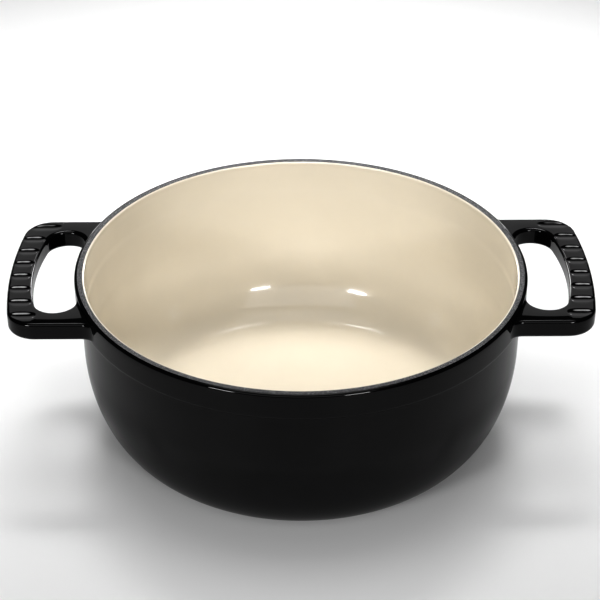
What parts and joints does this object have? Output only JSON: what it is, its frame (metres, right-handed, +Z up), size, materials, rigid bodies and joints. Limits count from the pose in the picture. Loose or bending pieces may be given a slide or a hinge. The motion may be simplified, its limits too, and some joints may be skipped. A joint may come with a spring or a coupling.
{
  "type": "dutch oven",
  "caption": "Open round pot with a curved bowl, a proud collar under the rim and a loop handle on either side, enamelled black outside and cream inside.",
  "frame": {"origin": "centre of the foot, on the surface that the pot stands on", "axes": "+Z up along the pot's axis, +X through the right handle, the line through both handles, -Y towards the front"},
  "size_m": [0.324, 0.252, 0.1075],
  "materials": {
    "cast_iron": "as cast, hidden under the enamel apart from the foot ring",
    "black_enamel": "black vitreous enamel, satin gloss, slight ripple",
    "cream_enamel": "cream vitreous enamel, smooth gloss",
    "rim_enamel": "matt dark grey enamel with fine pale speckle"
  },
  "bodies": {
    "root": {"pot_body": "cast_iron", "left_handle": "cast_iron", "right_handle": "cast_iron", "outer_enamel": "black_enamel", "left_handle_enamel": "black_enamel", "right_handle_enamel": "black_enamel", "base_enamel": "black_enamel", "inner_enamel": "cream_enamel", "rim_enamel": "rim_enamel"}
  },
  "joints": []
}
